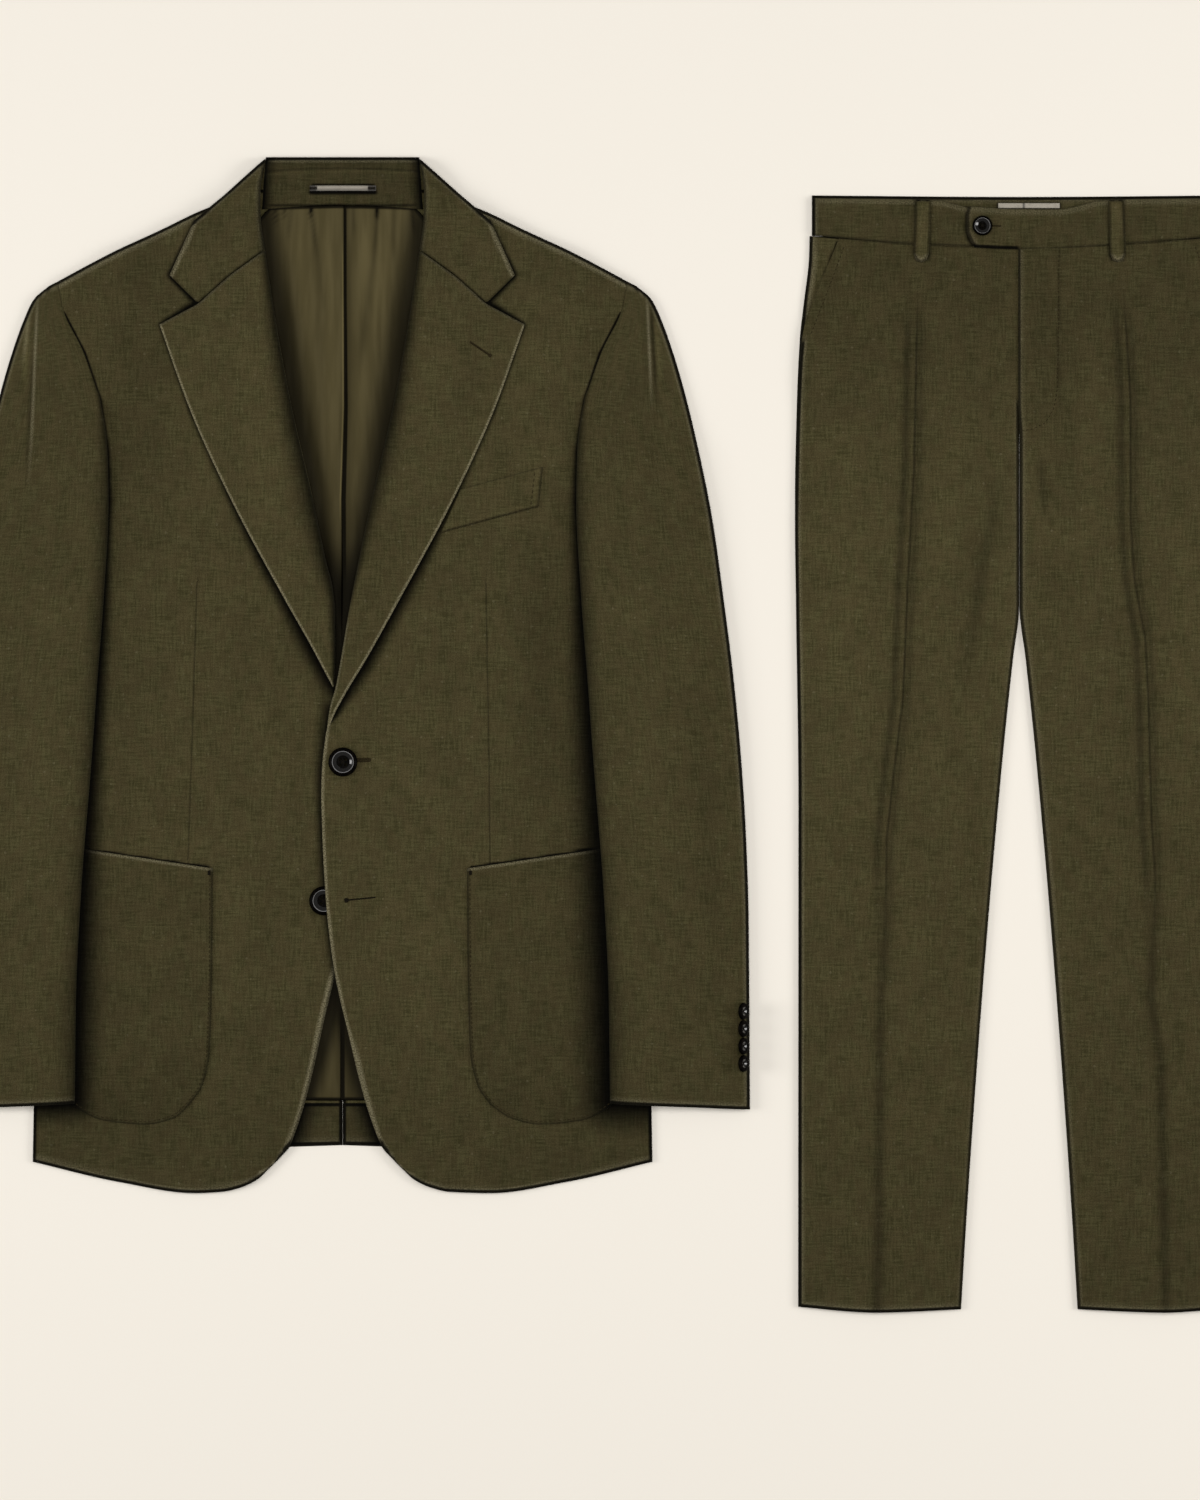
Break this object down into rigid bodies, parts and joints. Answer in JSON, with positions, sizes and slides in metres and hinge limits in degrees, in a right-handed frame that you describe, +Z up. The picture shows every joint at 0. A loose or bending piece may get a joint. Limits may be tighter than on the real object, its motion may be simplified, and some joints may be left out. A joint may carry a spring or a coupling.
{
  "type": "two-piece suit",
  "caption": "Olive two-piece suit laid flat: a notch-lapel jacket with patch pockets, buttoned at the waist, and pleatless trousers with pressed creases beside it.",
  "frame": {"origin": "centre of the suit's outline, on the surface that it lies on", "axes": "+Z up from the surface, +Y towards the collar and the waist, +X from the jacket to the trousers"},
  "size_m": [1.05, 0.9244, 0.0125],
  "materials": {
    "olive_suiting": "dry slubby olive wool and linen cloth",
    "olive_lining": "smooth olive satin lining",
    "grey_tape": "pale grey woven tape",
    "dark_horn": "polished near-black horn"
  },
  "bodies": {
    "root": {"back_hem_left": "olive_suiting", "back_hem_right": "olive_suiting", "back_left": "olive_suiting", "back_lining": "olive_lining", "back_right": "olive_suiting", "belt_loop_left": "olive_suiting", "belt_loop_right": "olive_suiting", "breast_welt": "olive_suiting", "collar_fall": "olive_suiting", "collar_leaf_left": "olive_suiting", "collar_leaf_right": "olive_suiting", "collar_stand": "olive_suiting", "cuff_button_left_1": "dark_horn", "cuff_button_left_2": "dark_horn", "cuff_button_left_3": "dark_horn", "cuff_button_left_4": "dark_horn", "cuff_button_right_1": "dark_horn", "cuff_button_right_2": "dark_horn", "cuff_button_right_3": "dark_horn", "cuff_button_right_4": "dark_horn", "front_button_lower": "dark_horn", "front_button_upper": "dark_horn", "front_left": "olive_suiting", "front_right": "olive_suiting", "hanger_loop": "grey_tape", "lapel_left": "olive_suiting", "lapel_right": "olive_suiting", "patch_pocket_left": "olive_suiting", "patch_pocket_right": "olive_suiting", "pocket_facing_left": "olive_suiting", "pocket_facing_right": "olive_suiting", "sleeve_under_left": "olive_suiting", "sleeve_under_right": "olive_suiting", "sleeve_upper_left": "olive_suiting", "sleeve_upper_right": "olive_suiting", "trouser_back_left": "olive_suiting", "trouser_back_right": "olive_suiting", "trouser_front_left": "olive_suiting", "trouser_front_right": "olive_suiting", "waist_button": "dark_horn", "waist_label": "grey_tape", "waistband_back": "olive_suiting", "waistband_left": "olive_suiting", "waistband_right": "olive_suiting"}
  },
  "joints": []
}
